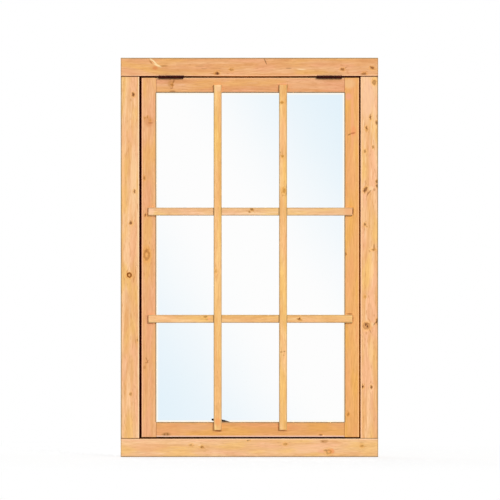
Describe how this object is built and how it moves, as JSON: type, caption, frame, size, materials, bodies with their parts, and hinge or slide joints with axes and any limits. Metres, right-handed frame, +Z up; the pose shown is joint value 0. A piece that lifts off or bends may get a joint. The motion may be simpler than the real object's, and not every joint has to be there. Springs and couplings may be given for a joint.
{
  "type": "top hung awning window",
  "caption": "Top hung awning window in planed softwood: rebated frame, sash with a glass pane behind a lapped glazing-bar grid, butt hinges at the head and a casement stay inside.",
  "frame": {"origin": "middle of the underside of the sill, at half its width and half its depth", "axes": "+Z up; +X to the right as seen from outside; +Y from outside to inside, so the outer face looks along -Y"},
  "size_m": [0.775, 0.0799, 1.202],
  "materials": {
    "frame_timber": "planed, satin",
    "sash_timber": "planed, satin",
    "bead_timber": "planed, satin",
    "bar_timber": "planed, satin",
    "window_glass": "clear",
    "hinge_steel": "dark brown coating",
    "stay_iron": "black"
  },
  "bodies": {
    "root": {"frame_head": "frame_timber", "frame_sill": "frame_timber", "frame_left_jamb": "frame_timber", "frame_right_jamb": "frame_timber", "sash_left_stile": "sash_timber", "sash_right_stile": "sash_timber", "sash_top_rail": "sash_timber", "sash_bottom_rail": "sash_timber", "glazing_bead_top": "bead_timber", "glazing_bead_bottom": "bead_timber", "glazing_bead_left": "bead_timber", "glazing_bead_right": "bead_timber", "bar_vertical_left": "bar_timber", "bar_vertical_right": "bar_timber", "bar_horizontal_upper": "bar_timber", "bar_horizontal_lower": "bar_timber", "glass_pane": "window_glass", "hinge_left_frame_leaf": "hinge_steel", "hinge_left_sash_leaf": "hinge_steel", "hinge_left_pin": "hinge_steel", "hinge_right_frame_leaf": "hinge_steel", "hinge_right_sash_leaf": "hinge_steel", "hinge_right_pin": "hinge_steel", "stay_arm": "stay_iron", "stay_bracket": "stay_iron", "stay_pivot": "stay_iron", "stay_peg_left": "stay_iron", "stay_peg_right": "stay_iron"}
  },
  "joints": []
}
